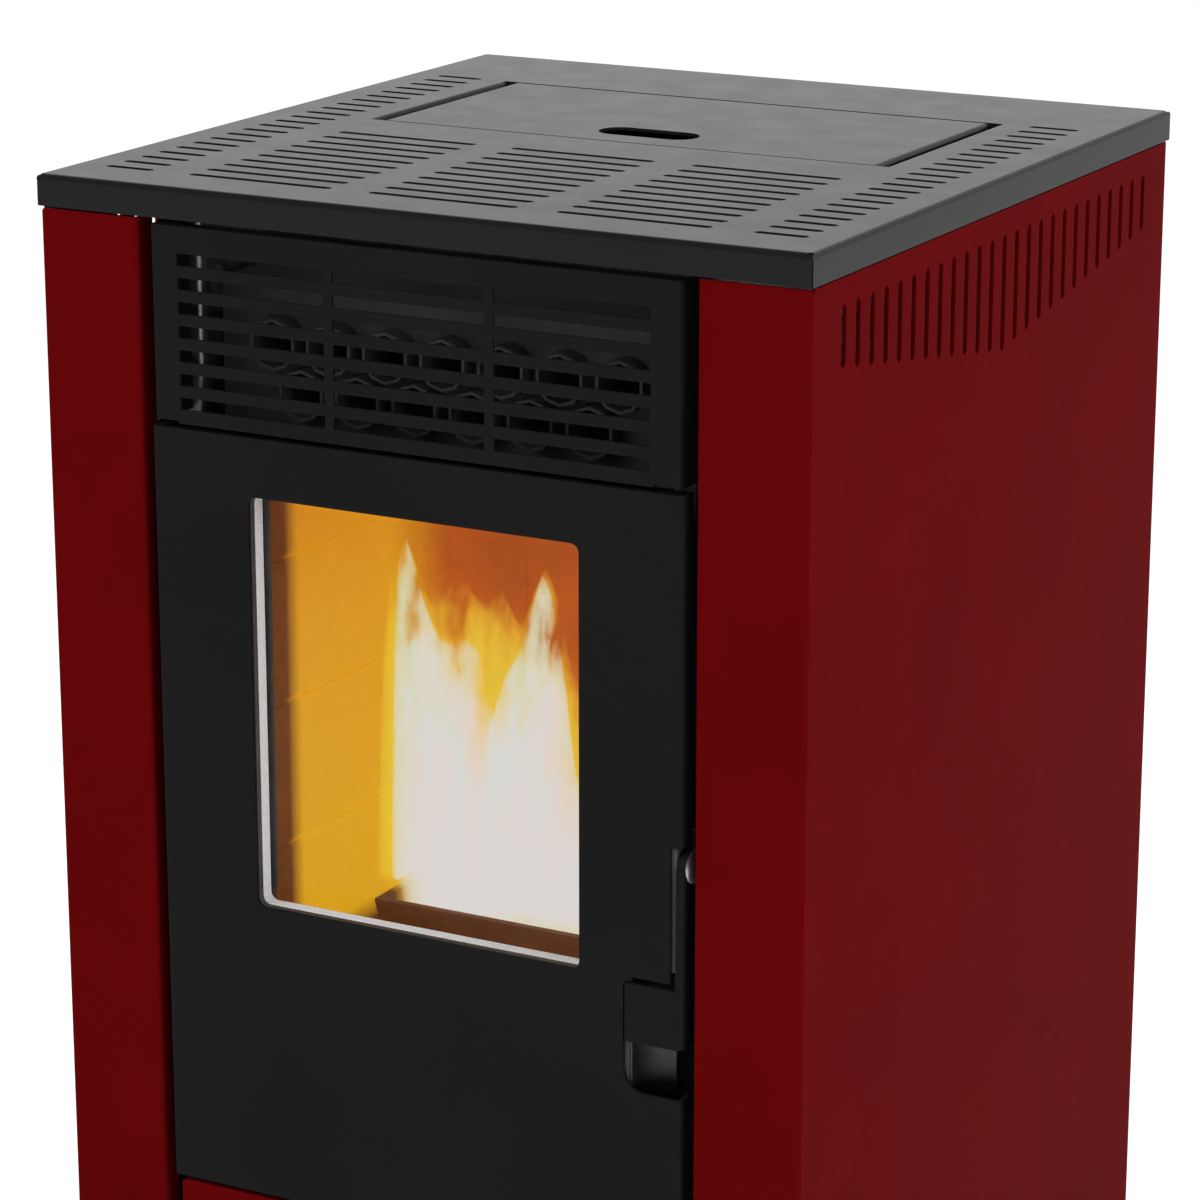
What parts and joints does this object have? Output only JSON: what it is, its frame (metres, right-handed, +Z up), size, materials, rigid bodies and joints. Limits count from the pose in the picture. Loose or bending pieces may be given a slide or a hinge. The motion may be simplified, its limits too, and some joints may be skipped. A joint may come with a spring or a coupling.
{
  "type": "pellet stove",
  "caption": "Free-standing pellet stove: red sheet-steel sides, black slotted top with hopper lid, glazed door over a burn pot, auger feed, fans and heat-exchanger tubes.",
  "frame": {"origin": "middle of the bounding box at floor level", "axes": "+X right seen from the front, +Y to the back, +Z up"},
  "size_m": [0.48, 0.527, 0.88],
  "materials": {
    "black_paint": "fine satin powder coat",
    "red_paint": "glossy enamel",
    "galvanised": "galvanised sheet",
    "stove_steel": "heat-proof paint on steel plate",
    "cast_iron": "rough casting",
    "vermiculite": "pressed vermiculite board",
    "zinc_steel": "zinc-plated steel",
    "aluminium": "die-cast and pressed aluminium",
    "ceramic_glass": "clear ceramic glass",
    "white_fibre": "woven glass-fibre gasket",
    "grey_rope": "braided ceramic rope",
    "rubber": "black rubber",
    "black_plastic": "moulded plastic",
    "circuit_board": "lacquered circuit board"
  },
  "bodies": {
    "casing": {"top_plate": "black_paint", "grille_panel": "black_paint", "base_tray": "black_paint", "rear_panel": "black_paint", "right_side_panel": "red_paint", "left_side_panel": "red_paint", "lower_front_panel": "red_paint", "right_frame_side": "galvanised", "left_frame_side": "galvanised", "hopper": "galvanised", "firebox_cradle": "galvanised", "air_plenum": "galvanised", "room_fan_housing": "galvanised", "smoke_box": "galvanised", "extractor_housing": "galvanised", "flue_spigot": "galvanised", "air_inlet_pipe": "galvanised", "firebox_body": "stove_steel", "flame_baffle": "stove_steel", "pot_shelf": "stove_steel", "hinge_bracket_upper": "stove_steel", "hinge_bracket_lower": "stove_steel", "auger_tube": "stove_steel", "room_fan_motor": "stove_steel", "back_liner": "vermiculite", "right_liner": "vermiculite", "left_liner": "vermiculite", "lid_pin_right": "zinc_steel", "lid_pin_left": "zinc_steel", "door_catch": "zinc_steel", "hopper_grid": "zinc_steel", "igniter": "zinc_steel", "auger_gearmotor": "aluminium", "extractor_motor": "aluminium", "lid_seal": "rubber", "foot_front_left": "rubber", "foot_front_right": "rubber", "foot_back_left": "rubber", "foot_back_right": "rubber", "power_inlet": "black_plastic", "switch_body": "black_plastic", "control_board": "circuit_board"},
    "lid": {"hopper_lid": "black_paint"},
    "door": {"door_panel": "black_paint", "door_frame": "stove_steel", "glass_seal": "white_fibre", "door_glass": "ceramic_glass", "glass_retainer_right": "stove_steel", "glass_retainer_left": "stove_steel", "door_rope_seal": "grey_rope", "door_heat_shield": "stove_steel", "handle_pivot_pin": "zinc_steel", "finger_cup": "galvanised"},
    "handle": {"door_handle": "black_paint"},
    "pot": {"burn_pot": "cast_iron"},
    "pan": {"ash_pan": "galvanised"},
    "auger": {"auger_screw": "zinc_steel"},
    "room_fan": {"room_fan_impeller": "aluminium"},
    "extractor": {"extractor_impeller": "zinc_steel"},
    "rocker": {"switch_rocker": "black_plastic"}
  },
  "joints": [
    {"name": "lid_hinge", "type": "hinge", "parent": "casing", "child": "lid", "pos_m": [0, 0.1375, 0.8745], "axis": [-1, 0, 0], "range_deg": [0, 95]},
    {"name": "door_hinge", "type": "hinge", "parent": "casing", "child": "door", "pos_m": [-0.155, -0.252, 0.5175], "axis": [0, 0, -1], "range_deg": [0, 100]},
    {"name": "handle_pivot", "type": "hinge", "parent": "door", "child": "handle", "pos_m": [0.16575, -0.2525, 0.5365], "axis": [-1, 0, 0], "range_deg": [0, 38]},
    {"name": "pot_lift", "type": "slide", "parent": "casing", "child": "pot", "axis": [0, 0, 1], "range_m": [0, 0.05]},
    {"name": "ash_pan_slide", "type": "slide", "parent": "casing", "child": "pan", "axis": [0, -1, 0], "range_m": [0, 0.026]},
    {"name": "auger_turn", "type": "hinge", "parent": "casing", "child": "auger", "pos_m": [0, 0.138, 0.445], "axis": [0, -0.7314, 0.682], "continuous": true},
    {"name": "room_fan_turn", "type": "hinge", "parent": "casing", "child": "room_fan", "pos_m": [-0.033, -0.087, 0.13], "axis": [1, 0, 0], "continuous": true},
    {"name": "extractor_turn", "type": "hinge", "parent": "casing", "child": "extractor", "pos_m": [0.088, 0.073, 0.2], "axis": [1, 0, 0], "continuous": true},
    {"name": "rocker_tilt", "type": "hinge", "parent": "casing", "child": "rocker", "pos_m": [-0.204, 0.2121, 0.158], "axis": [1, 0, 0], "range_deg": [-7, 7]}
  ]
}
